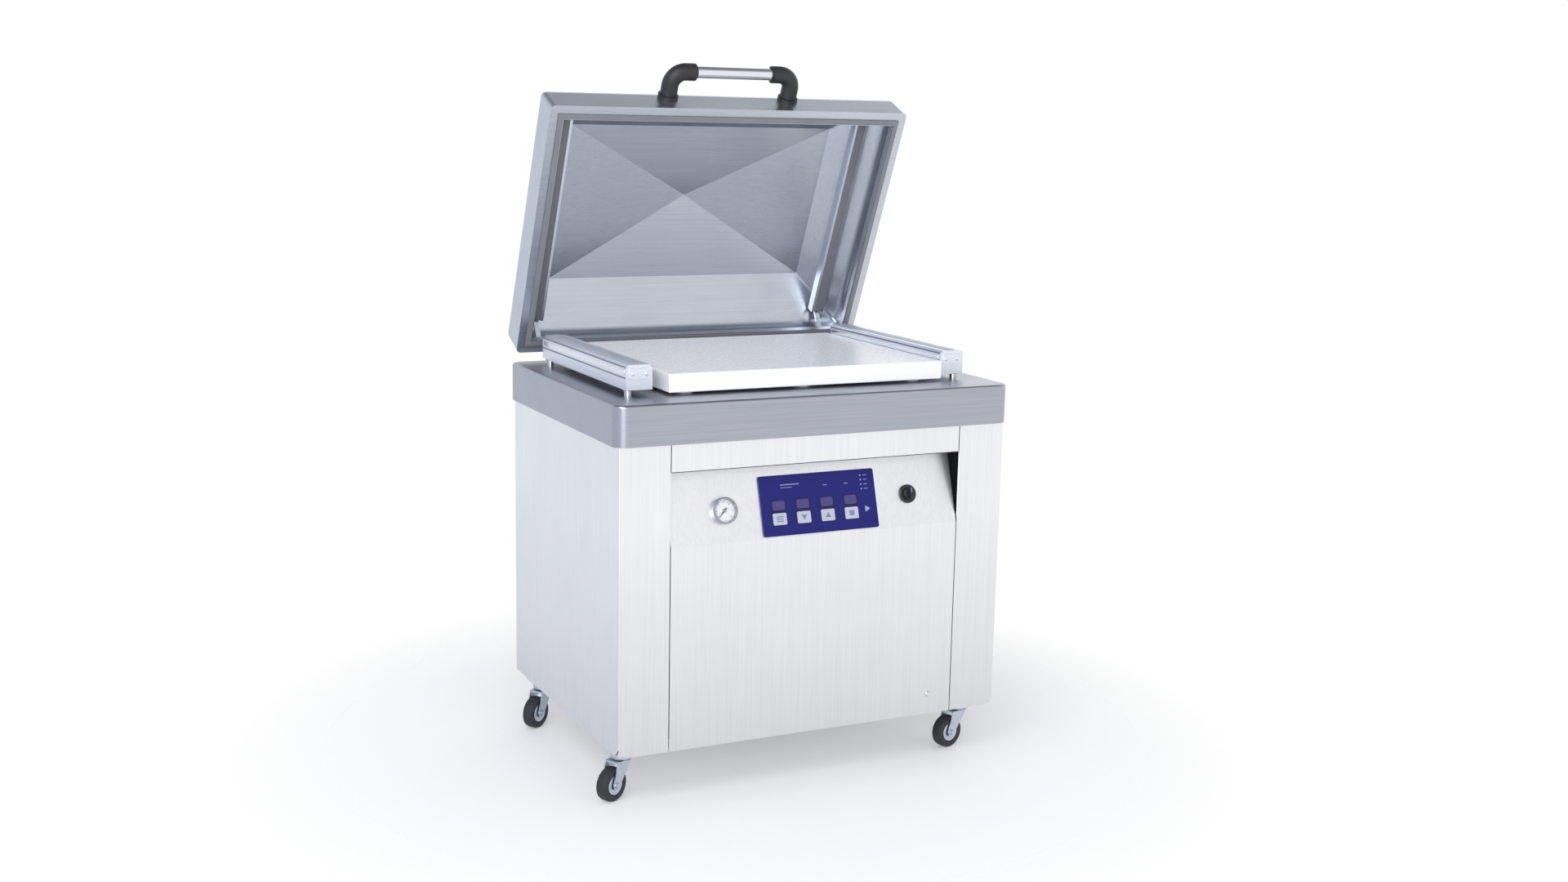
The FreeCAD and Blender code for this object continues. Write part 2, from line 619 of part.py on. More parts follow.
def make_hinge_brackets():
    """Brackets on the deck's rear band: a base plate with two ears each."""
    brackets = []
    for name, side in SIDES.items():
        middle = f"{side}*hinge_x"
        bracket = Body("hinge_bracket_" + name)
        bracket.pad("YZ", f"{middle} - 30", f"{middle} + 30",
                    (rectangle, ("deck_rear", "deck_rear + 6", "hinge_z - 70", "hinge_z - 22")))
        for start in (-12.5, 6.5):
            ear = (f"{middle} + {start}", f"{middle} + {start + 6}")
            bracket.pad("YZ", *ear,
                        (polygon, ([("deck_rear", "hinge_z - 66"), ("deck_rear + 8", "hinge_z - 66"),
                                    ("hinge_y + 12.9", "hinge_z - 2"), ("hinge_y", "hinge_z + 6"),
                                    ("deck_rear", "hinge_z + 2")],)))
            bracket.pad("YZ", *ear, (circle, ("hinge_y", "hinge_z", "boss_radius + 1")))
        bracket.pocket("YZ", f"{middle} - 31", f"{middle} + 31",
                       (circle, ("hinge_y", "hinge_z", "pin_radius + running")))
        brackets.append(bracket.item)
    stand(group("hinge_brackets", brackets))


def make_hinge_pins():
    """Headed pins through the bracket ears."""
    pins = []
    for name, side in SIDES.items():
        start = f"{side}*hinge_x - 16"
        shaft = cylinder(f"hinge_pin_{name}_shaft", "pin_radius", "32", start, "hinge_y", "hinge_z", *ALONG_X)
        ends = [cylinder(f"hinge_pin_{name}_{end}", "pin_radius + 3", "3",
                         f"{side}*hinge_x + {place_at}", "hinge_y", "hinge_z", *ALONG_X)
                for end, place_at in (("head", 13), ("clip", -16))]
        pins.append(fuse("hinge_pin_" + name, [shaft] + ends))
    stand(group("hinge_pins", pins))


def make_gas_spring(name, side):
    """Upright pull spring: a tube fixed to the back and a rod whose slotted eye holds the lever's pin."""
    middle = f"{side}*hinge_x"
    label = "gas_spring_body_" + name
    tube = cylinder(label + "_tube", "tube_radius", "tube_high - tube_low", middle, "rod_y", "tube_low")
    plate = box(label + "_plate", f"{middle} - 25", f"{middle} + 25", "cab_rear", "cab_rear + 4",
                "tube_low", "tube_high - 20")
    arms = [box(f"{label}_arm_{height}", f"{middle} - 8", f"{middle} + 8", "cab_rear", "rod_y",
                f"tube_low + {height}", f"tube_low + {height + 14}") for height in (10, 150)]
    bore = cylinder(label + "_bore", "tube_bore", "tube_high - tube_low - 16", middle, "rod_y", "tube_low + 6")
    gland = cylinder(label + "_gland", "rod_radius + running", "20", middle, "rod_y", "tube_high - 15")
    stand(cut(label, fuse(label + "_solid", [tube, plate] + arms),
              fuse(label + "_hollow", [bore, gland])))

    label = "gas_spring_rod_" + name
    pin_z = f"hinge_z - lever_reach*{math.sin(math.radians(size('open_angle')/2))}"
    rod = cylinder(label + "_rod", "rod_radius", f"{pin_z} - 30 - (tube_low + 30)", middle, "rod_y",
                   "tube_low + 30")
    piston = cylinder(label + "_piston", "tube_bore - free", "14", middle, "rod_y", "tube_low + 30")
    block = box(label + "_block", f"{middle} - 12", f"{middle} + 12", "rod_y - 15", "rod_y + 15",
                f"{pin_z} - 34", f"{pin_z} + 12")
    throat = box(label + "_throat", f"{middle} - 7", f"{middle} + 7", "rod_y - 16", "rod_y + 16",
                 f"{pin_z} - 22", f"{pin_z} + 13")
    slot_half = "lever_pin + 1.2"
    slot = box(label + "_slot", f"{middle} - 13", f"{middle} + 13", "rod_y - 11", "rod_y + 11",
               f"{pin_z} - ({slot_half})", f"{pin_z} + {slot_half}")
    stand(cut(label, fuse(label + "_solid", [rod, piston, block]), fuse(label + "_open", [throat, slot])))


# ---------------------------------------------------------------- controls

def lean(item, x, up):
    """Seat a control on the leaning zone: its own z points out of the sheet, its y up the slope."""
    tall = size(f"({LEAN_TOP}) - ({LEAN_FOOT})")
    deep = size("lean_depth")
    turn = FreeCAD.Rotation(FreeCAD.Vector(1, 0, 0), math.degrees(math.atan2(tall, deep)))
    foot = FreeCAD.Vector(size(x), size("cab_front + origin_shift"), size(LEAN_FOOT))
    item.Placement = FreeCAD.Placement(foot + turn.multVec(FreeCAD.Vector(0, size(up), 0)), turn)
    return piece(item)


KEYS = ("set_key", "down_key", "up_key", "stop_key")


def make_control_panel():
    """Membrane plate with four wells, and the four keys that sit in them."""
    half_wide = "panel_wide/2"
    half_tall = "panel_tall/2"
    panel = Body("control_panel")
    panel.pad("XY", "0", "panel_thick",
              (rectangle, (f"-({half_wide})", half_wide, f"-({half_tall})", half_tall)))
    panel.soften("Fillet", "5", upright)
    gap = "free + 0.2"
    wells = [(rectangle, (f"key_first + {n}*key_pitch - key_wide/2 - ({gap})",
                          f"key_first + {n}*key_pitch + key_wide/2 + {gap}",
                          f"key_up - key_tall/2 - ({gap})", f"key_up + key_tall/2 + {gap}"))
             for n in range(len(KEYS))]
    panel.pocket("XY", "panel_thick - 2.6", "panel_thick + 1", *wells)
    lean(panel.item, "panel_x", "panel_up")
    for n, name in enumerate(KEYS):
        key = Body(name)
        key.pad("XY", "panel_thick - 0.8", "panel_thick + key_proud - 0.8",
                (rectangle, ("-key_wide/2", "key_wide/2", "-key_tall/2", "key_tall/2")))
        top = size("panel_thick + key_proud - 0.8")
        key.soften("Fillet", "3", upright)
        key.soften("Fillet", "0.6", lambda edge: edge.BoundBox.ZMin > top - 0.01)
        lean(key.item, f"panel_x + key_first + {n}*key_pitch", "panel_up + key_up")


def make_gauge():
    """Vacuum gauge: a flanged case, a dial, a needle on its spindle and a glass."""
    case = Body("gauge_case")
    outer = "gauge_radius"
    case.revolve("XZ", "V", [("0", "-22"), (f"{outer} - 5", "-22"), (f"{outer} - 5", "0"), (outer, "0"),
                             (outer, "gauge_proud - 2"), (f"{outer} - 2", "gauge_proud"),
                             (f"{outer} - 4", "gauge_proud"), (f"{outer} - 4", "2"), ("0", "2")])
    case.pocket("XY", "0", "3", (circle, ("0", "0", "2.4")))
    lean(case.item, "gauge_x", "gauge_up")
    dial = Body("gauge_dial")
    dial.pad("XY", "2", "3.4", (circle, ("0", "0", f"{outer} - 4.3")), (circle, ("0", "0", "2.4")))
    lean(dial.item, "gauge_x", "gauge_up")
    needle = Body("gauge_needle")
    needle.pad("XY", "0.6", "6", (circle, ("0", "0", "1.6")))
    needle.pad("XY", "4.4", "5.4", (circle, ("0", "0", "3.6")))
    needle.pad("XY", "4.6", "5.2",
               (polygon, ([("-1.8", "-8"), ("1.8", "-8"), ("0.4", "20"), ("-0.4", "20")],)))
    lean(needle.item, "gauge_x", "gauge_up")
    needle.item.Placement = needle.item.Placement.multiply(
        FreeCAD.Placement(FreeCAD.Vector(0, 0, 0), FreeCAD.Rotation(FreeCAD.Vector(0, 0, 1), 135)))
    glass = Body("gauge_glass")
    glass.pad("XY", "gauge_proud - 3.4", "gauge_proud - 1.4", (circle, ("0", "0", f"{outer} - 4.2")))
    lean(glass.item, "gauge_x", "gauge_up")


def make_mains_switch():
    """Rotary mains switch: a round base with a collar and a knob with a finger bar."""
    base = Body("mains_switch_base")
    base.revolve("XZ", "V", [("0", "-30"), ("knob_base - 7", "-30"), ("knob_base - 7", "0"),
                             ("knob_base", "0"), ("knob_base", "4"), ("knob_base - 2", "6"), ("5.3", "6"),
                             ("5.3", "-10"), ("0", "-10")])
    lean(base.item, "knob_x", "knob_up")
    knob = Body("mains_switch_knob")
    knob.revolve("XZ", "V", [("0", "-9.5"), ("5", "-9.5"), ("5", "6.5"), ("knob_radius", "6.5"),
                             ("knob_radius - 1", "13"), ("0", "13")])
    knob.pad("XY", "12", "knob_proud", (rectangle, ("-3.5", "3.5", "-knob_radius + 1", "knob_radius - 1")))
    lean(knob.item, "knob_x", "knob_up")


# ---------------------------------------------------------------- casters

CORNERS = {"front_left": (-1, "caster_front", 209), "front_right": (1, "caster_front", 194),
           "rear_left": (-1, "caster_rear", 216), "rear_right": (1, "caster_rear", 331)}


def at_corner(item, name):
    """Carry a piece that is drawn about its swivel axis to its corner, turned as it stands."""
    side, depth, heading = CORNERS[name]
    return piece(place(item, f"{side}*caster_x", f"{depth} + origin_shift", "0", heading))


def make_caster_plates():
    """Mounting plates with the upper races of the swivels."""
    plates = []
    for name, (side, depth, _) in CORNERS.items():
        plate = Body("caster_plate_" + name)
        x = f"{side}*caster_x"
        half = "caster_plate_size/2"
        plate.pad("XY", "plate_z", "plate_z + plate_gauge",
                  (rectangle, (f"{x} - {half}", f"{x} + {half}", f"{depth} - {half}", f"{depth} + {half}")))
        plate.soften("Fillet", "6", upright)
        plate.pad("XY", "race_z", "plate_z + 1", (circle, (x, depth, "24")))
        plate.soften("Fillet", "4", lambda edge: edge.BoundBox.ZMax < size("race_z") + 0.01)
        plate.pocket("XY", "race_z - 1", "plate_z - 3", (circle, (x, depth, "kingpin + running")))
        plates.append(plate.item)
    stand(group("caster_plates", plates))


def make_caster(name):
    """Swivel fork with its axle bolt, and the wheel with its tyre; the wheel trails along +X."""
    fork = Body(f"caster_fork_{name}_frame")
    width = "leg_gap + leg_gauge"
    fork.pad("XY", "crown_z", "race_z - 0.5", (circle, ("0", "0", "22")))
    fork.pad("XY", "crown_z", "race_z - 0.5", (rectangle, ("-14", "30", f"-({width})", width)))
    for start, end in (("leg_gap", width), (f"-({width})", "-leg_gap")):
        fork.pad("XZ", start, end,
                 (polygon, ([("-14", "race_z - 0.5"), ("30", "race_z - 0.5"), ("trail + 12", "wheel_radius + 2"),
                             ("trail + 9", "wheel_radius - 9"), ("trail - 9", "wheel_radius - 9"),
                             ("trail - 12", "wheel_radius + 2")],)))
    fork.pad("XY", "crown_z + 1", "plate_z - 4", (circle, ("0", "0", "kingpin")))
    fork.pocket("XZ", "-30", "30", (circle, ("trail", "wheel_radius", "axle + 0.1")))
    bolt = Body(f"caster_axle_{name}")
    bolt.pad("XZ", f"-({width}) - 2", f"{width} + 2", (circle, ("trail", "wheel_radius", "axle")))
    bolt.pad("XZ", width, f"{width} + 4", (circle, ("trail", "wheel_radius", "7")))
    bolt.pad("XZ", f"-({width}) - 4", f"-({width})", (circle, ("trail", "wheel_radius", "7")))
    at_corner(group("caster_fork_" + name, [fork.item, bolt.item]), name)

    half = "wheel_wide/2"
    hub = Body(f"caster_hub_{name}")
    hub.revolve("YZ", "H", [("-leg_gap + 0.6", "axle + running"), ("leg_gap - 0.6", "axle + running"),
                            ("leg_gap - 0.6", "9"), (f"{half} - 3", "10"), (f"{half} - 3", "hub_radius - 5"),
                            (half, "hub_radius - 4"), (half, "hub_radius"), (f"-({half})", "hub_radius"),
                            (f"-({half})", "hub_radius - 4"), (f"-({half}) + 3", "hub_radius - 5"),
                            (f"-({half}) + 3", "10"), ("-leg_gap + 0.6", "9")])
    tyre = Body(f"caster_tyre_{name}")
    tyre.revolve("YZ", "H", [(f"-({half})", "hub_radius"), (half, "hub_radius"), (half, "wheel_radius - 4"),
                             (f"{half} - 2", "wheel_radius - 1.2"), (f"{half} - 6", "wheel_radius"),
                             (f"-({half}) + 6", "wheel_radius"), (f"-({half}) + 2", "wheel_radius - 1.2"),
                             (f"-({half})", "wheel_radius - 4")])
    for ring in (hub, tyre):
        place(ring.item, "trail", "0", "wheel_radius")
    at_corner(group("caster_wheel_" + name, [hub.item, tyre.item]), name)


# ---------------------------------------------------------------- works inside

def rounded_path(points, radius):
    """Straight runs joined by tangent arcs of one radius."""
    corners = [FreeCAD.Vector(*point) for point in points]
    edges = []
    start = corners[0]
    for before, corner, after in zip(corners, corners[1:], corners[2:]):
        arriving = (corner - before).normalize()
        leaving = (after - corner).normalize()
        turn = arriving.getAngle(leaving)
        reach = radius*math.tan(turn/2)
        entry = corner - arriving*reach
        leave = corner + leaving*reach
        inward = (leaving - arriving).normalize()
        middle = corner + inward*(radius/math.cos(turn/2) - radius)
        edges += [Part.LineSegment(start, entry).toShape(), Part.Arc(entry, middle, leave).toShape()]
        start = leave
    edges.append(Part.LineSegment(start, corners[-1]).toShape())
    return Part.Wire(edges)


def make_works():
    """Pump, motor, hose, transformer and the electrical box, all standing on the pan."""
    floor = "pan_z + pan_gauge"
    casing = box("vacuum_pump_casing", "-270", "pump_long - 270", "-110", "pump_wide - 110",
                 f"{floor} + 14", f"{floor} + pump_tall")
    feet = [cylinder(f"vacuum_pump_foot_{n}", "14", "16", f"{x}", f"{y}", floor)
            for n, (x, y) in enumerate([(-240, -80), (-240, 80), (0, -80), (0, 80)])]
    filter_can = cylinder("vacuum_pump_filter", "52", "150", "-200", "0", f"{floor} + pump_tall - 1")
    outlet = cylinder("vacuum_pump_neck", "hose_radius", "20", "-30", "0", f"{floor} + pump_tall - 1")
    chamber = box("vacuum_pump_chamber", "-258", "pump_long - 282", "-98", "pump_wide - 122",
                  f"{floor} + 26", f"{floor} + pump_tall - 12")
    suction = cylinder("vacuum_pump_suction", "hose_radius - 4", "40", "-30", "0", f"{floor} + pump_tall - 20")
    stand(cut("vacuum_pump", fuse("vacuum_pump_solid", [casing, filter_can, outlet] + feet),
              fuse("vacuum_pump_open", [chamber, suction])))

    shaft = "pump_long - 270"
    height = f"{floor} + 14 + pump_tall/2"
    can = cylinder("pump_motor_can", "motor_radius", "motor_long", shaft, "0", height, *ALONG_X)
    cowl = cylinder("pump_motor_cowl", "motor_radius + 4", "34", f"{shaft} + motor_long - 2", "0", height,
                    *ALONG_X)
    terminal = box("pump_motor_terminals", f"{shaft} + 50", f"{shaft} + 130", "-35", "35",
                   f"{height} + motor_radius - 6", f"{height} + motor_radius + 34")
    foot = box("pump_motor_foot", f"{shaft} + 30", f"{shaft} + 170", "-60", "60", floor,
               f"{height} - motor_radius + 14")
    stand(fuse("pump_motor", [can, cowl, terminal, foot]))

    low = size(f"{floor} + pump_tall + 19")
    top = size("deck_top - deck_plate")
    route = rounded_path([(-30, 0, low), (-30, 0, low + 140), (0, 313, top - 150), (0, 313, top)], 70)
    bend_start = FreeCAD.Vector(-30, 0, low)
    rings = [Part.Wire(Part.makeCircle(radius, bend_start, FreeCAD.Vector(0, 0, 1)))
             for radius in (size("hose_radius"), size("hose_radius - 4"))]
    skins = [route.makePipeShell([ring], True, True) for ring in rings]
    hose = DOC.addObject("Part::Feature", "vacuum_hose")
    hose.Shape = skins[0].cut(skins[1])
    stand(hose)

    core = box("transformer_core", "-390", "-290", "-60", "60", floor, f"{floor} + 100")
    coil = cylinder("transformer_coil", "38", "90", "-340", "-45", f"{floor} + 52", *ALONG_Y)
    stand(fuse("transformer", [core, coil]))

    casing = box("electrical_box_casing", "300", "440", "60", "300", "380", "700")
    door = box("electrical_box_door", "292", "301", "64", "296", "384", "696")
    inside = box("electrical_box_inside", "302.5", "438", "62", "298", "382", "698")
    entry = cylinder("electrical_box_entry", "12", "10", "370", "180", "375")
    stand(cut("electrical_box", fuse("electrical_box_solid", [casing, door]),
              fuse("electrical_box_open", [inside, entry])))


def make_cable_gland():
    """Mains inlet in the back sheet: a hexagonal body, a domed nut and a through bore."""
    spot = ("350", "180")
    gland = Body("cable_gland")
    gland.pad("XZ", "cab_rear - gauge - 6", "cab_rear - gauge", (circle, (*spot, "14")))
    gland.pad("XZ", "cab_rear - gauge - 12", "cab_rear + 2", (circle, (*spot, "9.9")))
    hexagon = [(f"350 + {14*math.cos(math.radians(60*n))}", f"180 + {14*math.sin(math.radians(60*n))}")
               for n in range(6)]
    gland.pad("XZ", "cab_rear", "cab_rear + 7", (polygon, (hexagon,)))
    gland.pad("XZ", "cab_rear + 6", "cab_rear + 22", (circle, (*spot, "11")))
    gland.pocket("XZ", "cab_rear - gauge - 13", "cab_rear + 23", (circle, (*spot, "5")))
    stand(gland.item)


def make_panel_screws():
    """Dome-headed screws that hold the rear sheet, and the lock screw of the front panel."""
    screws = []
    spots = [(x, z) for x in (-420, 0, 420) for z in (140, 770)] + [(-420, 455), (420, 455)]
    for n, (x, z) in enumerate(spots):
        head = cylinder(f"panel_screw_{n}", "5", "3", f"{x}", "cab_rear", f"{z}", *ALONG_Y)
        screws.append(head)
    lock = cylinder("panel_lock", "7", "3", "295", "cab_front", "164", 90, (1, 0, 0))
    stand(group("panel_screws", screws + [lock]))


def make_all():
    make_base_pan()
    for name, side in SIDES.items():
        make_side_panel("side_panel_" + name, side)
    make_rear_panel()
    make_front_header()
    make_front_panel()
    make_chamber_deck()
    make_filler_plate()
    make_seal_cylinders()
    make_lid_frame()
    make_lid_seal()
    make_lid_shell()
    make_handle()
    make_hinge_brackets()
    make_hinge_pins()
    for name, side in SIDES.items():
        make_seal_bar(name, side)
        make_seal_posts(name, side)
        make_counter_bar(name, side)
        make_hinge_arm(name, side)
        make_gas_spring(name, side)
    make_control_panel()
    make_gauge()
    make_mains_switch()
    make_caster_plates()
    for name in CORNERS:
        make_caster(name)
    make_works()
    make_cable_gland()
    make_panel_screws()


def check_and_write():
    """Stop if anything failed, then write each piece to its own file."""
    DOC.recompute()
    for item in DOC.Objects:
        if "Invalid" in item.State or "Error" in item.State:
            raise RuntimeError(f"{item.Name} did not compute")
    whole = FreeCAD.BoundBox()
    for item in PIECES:
        item.Label = item.Name
        if item.Shape.isNull() or not item.Shape.isValid() or item.Shape.Volume < 1:
            raise RuntimeError(f"{item.Label} has no valid shape")
        whole.add(item.Shape.BoundBox)
    os.makedirs("parts", exist_ok=True)
    for item in PIECES:
        item.Shape.exportStep(f"parts/{item.Label}.step")
    print(len(PIECES), "pieces;", whole)


make_all()
check_and_write()
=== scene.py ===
"""Vacuum packing machine: materials, small visible details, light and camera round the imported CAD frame."""
import json
import math

import bmesh
import bpy
from mathutils import Matrix, Vector


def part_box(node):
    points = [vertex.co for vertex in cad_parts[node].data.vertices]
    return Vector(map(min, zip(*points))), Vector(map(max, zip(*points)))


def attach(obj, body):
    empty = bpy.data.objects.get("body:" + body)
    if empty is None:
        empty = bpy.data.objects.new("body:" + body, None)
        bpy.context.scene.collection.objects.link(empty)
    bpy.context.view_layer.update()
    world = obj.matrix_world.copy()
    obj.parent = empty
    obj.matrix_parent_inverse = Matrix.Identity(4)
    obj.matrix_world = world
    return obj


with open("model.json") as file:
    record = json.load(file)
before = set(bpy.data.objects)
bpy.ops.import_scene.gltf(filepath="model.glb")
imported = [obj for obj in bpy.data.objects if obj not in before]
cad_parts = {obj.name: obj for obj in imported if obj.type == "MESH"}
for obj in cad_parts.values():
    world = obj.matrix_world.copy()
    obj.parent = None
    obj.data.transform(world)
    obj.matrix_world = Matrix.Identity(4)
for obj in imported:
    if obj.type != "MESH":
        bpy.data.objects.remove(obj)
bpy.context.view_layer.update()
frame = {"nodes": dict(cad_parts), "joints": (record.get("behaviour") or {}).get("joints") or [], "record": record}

nodes = frame["nodes"]


# ---------------------------------------------------------------- node materials

def rgb(*levels):
    """Linear colour from 0-255 display levels."""
    return tuple(((v/255 + 0.055)/1.055)**2.4 if v > 10 else v/255/12.92 for v in levels) + (1.0,)


def darker(tone, share):
    return tuple(level*share for level in tone[:3]) + (1.0,)


class Mat:
    """A node material with short ways to add noise, waves, ranges, mixes and bumps."""

    def __init__(self, name):
        self.mat = bpy.data.materials.new(name)
        self.mat.use_nodes = True
        self.tree = self.mat.node_tree
        self.shader = self.tree.nodes["Principled BSDF"]
        self.coords = self.tree.nodes.new("ShaderNodeTexCoord").outputs["Object"]
        self.bump = None

    def node(self, kind, **settings):
        made = self.tree.nodes.new("ShaderNode" + kind)
        for key, value in settings.items():
            setattr(made, key, value)
        return made

    def link(self, source, target):
        self.tree.links.new(source, target)

    def fixed(self, **values):
        for key, value in values.items():
            self.shader.inputs[key.replace("_", " ")].default_value = value
        return self

    def mapped(self, scale=(1, 1, 1), turn=(0, 0, 0)):
        mapping = self.node("Mapping")
        mapping.inputs["Scale"].default_value = scale
        mapping.inputs["Rotation"].default_value = [math.radians(a) for a in turn]
        self.link(self.coords, mapping.inputs["Vector"])
        return mapping.outputs["Vector"]

    def noise(self, scale, detail=4.0, stretch=(1, 1, 1), turn=(0, 0, 0), rough=0.55):
        made = self.node("TexNoise")
        made.inputs["Scale"].default_value = scale
        made.inputs["Detail"].default_value = detail
        made.inputs["Roughness"].default_value = rough
        self.link(self.mapped(stretch, turn), made.inputs["Vector"])
        return made.outputs["Fac"]

    def wave(self, scale, direction):
        made = self.node("TexWave", bands_direction=direction)
        made.inputs["Scale"].default_value = scale
        self.link(self.mapped(), made.inputs["Vector"])
        return made.outputs["Fac"]

    def levels(self, source, low, high, start=0.3, end=0.7):
        """Spread a source between two numbers."""
        made = self.node("MapRange")
        for key, value in (("From Min", start), ("From Max", end), ("To Min", low), ("To Max", high)):
            made.inputs[key].default_value = value
        self.link(source, made.inputs["Value"])
        return made.outputs["Result"]

    def math(self, operation, first, second):
        made = self.node("Math", operation=operation)
        for slot_number, value in enumerate((first, second)):
            if isinstance(value, (int, float)):
                made.inputs[slot_number].default_value = value
            else:
                self.link(value, made.inputs[slot_number])
        return made.outputs["Value"]

    def mix(self, factor, first, second):
        made = self.node("MixRGB")
        for key, value in (("Fac", factor), ("Color1", first), ("Color2", second)):
            if isinstance(value, (int, float, tuple)):
                made.inputs[key].default_value = value
            else:
                self.link(value, made.inputs[key])
        return made.outputs["Color"]

    def height(self, source, strength, distance):
        """Add one layer of bump on top of the last."""
        made = self.node("Bump")
        made.inputs["Strength"].default_value = strength
        made.inputs["Distance"].default_value = distance
        self.link(source, made.inputs["Height"])
        if self.bump:
            self.link(self.bump, made.inputs["Normal"])
        self.bump = made.outputs["Normal"]
        self.link(self.bump, self.shader.inputs["Normal"])

    def colour(self, source):
        self.link(source, self.shader.inputs["Base Color"])

    def roughness(self, source):
        self.link(source, self.shader.inputs["Roughness"])


def brushed(name, tone, low, high, grain, rough, strength=0.05, floor_shade=0.0):
    """Brushed metal: fine streaks, cloudy patches and finger marks; the last argument paints shade that darkens it
    towards the floor.
    """
    made = Mat(name).fixed(Metallic=1.0)
    streak = made.noise(1.0, 6, grain)
    fine = made.noise(3.1, 4, grain, rough=0.7)
    cloud = made.noise(3.2, 3)
    shade = made.levels(streak, low, high)
    tint = made.mix(shade, darker(tone, 0.86), tone)
    tint = made.mix(made.levels(cloud, 0.0, 0.16), tint, darker(tone, 0.8))
    # Painted shade: below 0.62 m the base colour is mixed towards a dark tone, as shade falls near the floor.
    if floor_shade:
        place = made.node("SeparateXYZ")
        made.link(made.coords, place.inputs["Vector"])
        floor_shade_mask = made.levels(place.outputs["Z"], floor_shade, 0.0, 0.10, 0.62)
        tint = made.mix(floor_shade_mask, tint, darker(tone, 0.45))
    made.colour(tint)
    smear = made.noise(9.0, 5, (1, 1, 1), (20, 35, 10), 0.6)
    base = made.levels(fine, rough[0], rough[1])
    made.roughness(made.math("ADD", base, made.levels(smear, 0.0, 0.09, 0.45, 0.75)))
    made.height(streak, strength, 0.0004)
    made.height(fine, strength*0.6, 0.0002)
    return made.mat


def plastic(name, tone, rough, grain=900, depth=0.12, sheen=0.0, patch=0.06, shine=0.5):
    """Moulded plastic or rubber with a fine texture and slight unevenness of colour."""
    made = Mat(name).fixed(Sheen_Weight=sheen, Specular_IOR_Level=shine)
    cloud = made.noise(14, 4)
    speck = made.noise(grain, 3)
    made.colour(made.mix(made.levels(cloud, 0, 1), darker(tone, 1 - patch*2), tone))
    made.roughness(made.levels(speck, rough - 0.06, rough + 0.08))
    made.height(speck, depth, 0.0002)
    return made.mat


def paint(name, tone, rough):
    """Sprayed paint with orange peel and faint dust."""
    made = Mat(name).fixed(Metallic=0.0, Coat_Weight=0.25, Coat_Roughness=0.2)
    peel = made.noise(420, 2)
    cloud = made.noise(7, 4)
    made.colour(made.mix(made.levels(cloud, 0, 1), darker(tone, 0.88), tone))
    made.roughness(made.levels(cloud, rough - 0.05, rough + 0.1))
    made.height(peel, 0.08, 0.0003)
    return made.mat


def cast(name, tone):
    """Rough cast iron under a thin coat of paint."""
    made = Mat(name).fixed(Metallic=0.35)
    lump = made.noise(160, 5)
    cloud = made.noise(18, 4)
    made.colour(made.mix(made.levels(cloud, 0, 1), darker(tone, 0.8), tone))
    made.roughness(made.levels(lump, 0.5, 0.75))
    made.height(lump, 0.5, 0.0006)
    return made.mat


# Noise scales along a streak of the brushing, and from one streak to the next.
ALONG, BETWEEN = 4, 260
ACROSS = (ALONG, BETWEEN, BETWEEN)
UPRIGHT = (BETWEEN, BETWEEN, ALONG)
DEPTHWISE = (BETWEEN, ALONG, BETWEEN)

LOOKS = {
    # The cabinet steel carries painted shade that darkens it towards the floor.
    "cabinet_steel": brushed("CabinetSteel", rgb(236, 236, 238), 0.45, 1.0, UPRIGHT, (0.30, 0.44),
                             strength=0.03, floor_shade=0.30),
    "deck_steel": brushed("DeckSteel", rgb(172, 175, 185), 0.2, 1.0, ACROSS, (0.26, 0.40)),
    "lid_steel": brushed("LidSteel", rgb(196, 201, 210), 0.2, 1.0, ACROSS, (0.24, 0.38)),
    "hinge_steel": brushed("HingeSteel", rgb(190, 193, 199), 0.2, 1.0, DEPTHWISE, (0.28, 0.42)),
    "bar_aluminium": brushed("BarAluminium", rgb(232, 236, 246), 0.3, 1.0, DEPTHWISE, (0.34, 0.48)),
    "cylinder_aluminium": brushed("CylinderAluminium", rgb(190, 192, 196), 0.3, 1.0, UPRIGHT, (0.3, 0.45)),
    "zinc_plate": brushed("ZincPlate", rgb(196, 204, 216), 0.2, 1.0, (60, 60, 60), (0.3, 0.46)),
    "bright_steel": brushed("BrightSteel", rgb(228, 230, 234), 0.5, 1.0, ACROSS, (0.12, 0.2), strength=0.02),
    "gauge_ring": brushed("GaugeRing", rgb(168, 172, 180), 0.3, 1.0, (90, 90, 90), (0.18, 0.28)),
    "white_plate": plastic("WhitePlate", rgb(250, 250, 253), 0.26, 500, 0.10, 0, 0.015),
    "soft_rubber": plastic("SoftRubber", rgb(120, 122, 128), 0.62, 700, 0.2, 0.1),
    "black_plastic": plastic("BlackPlastic", rgb(34, 35, 38), 0.46, 800, 0.25),
    "switch_black": plastic("SwitchBlack", rgb(30, 31, 36), 0.3, 900, 0.1),
    "key_light": plastic("KeyLight", rgb(178, 182, 198), 0.4, 900, 0.08),
    "panel_blue": plastic("PanelBlue", rgb(24, 28, 104), 0.42, 1200, 0.05, 0, 0.05, 0.22),
    "caster_tyre": plastic("CasterTyre", rgb(38, 39, 43), 0.6, 600, 0.35),
    "hose_rubber": plastic("HoseRubber", rgb(40, 40, 42), 0.55, 300, 0.3),
    "dial_white": paint("DialWhite", rgb(246, 246, 250), 0.45),
    "needle_black": paint("NeedleBlack", rgb(24, 24, 26), 0.4),
    "black_paint": paint("BlackPaint", rgb(34, 35, 38), 0.3),
    "motor_paint": paint("MotorPaint", rgb(82, 98, 120), 0.4),
    "box_paint": paint("BoxPaint", rgb(206, 208, 210), 0.5),
    "pump_iron": cast("PumpIron", rgb(112, 120, 130)),
    "core_iron": cast("CoreIron", rgb(96, 90, 88)),
}


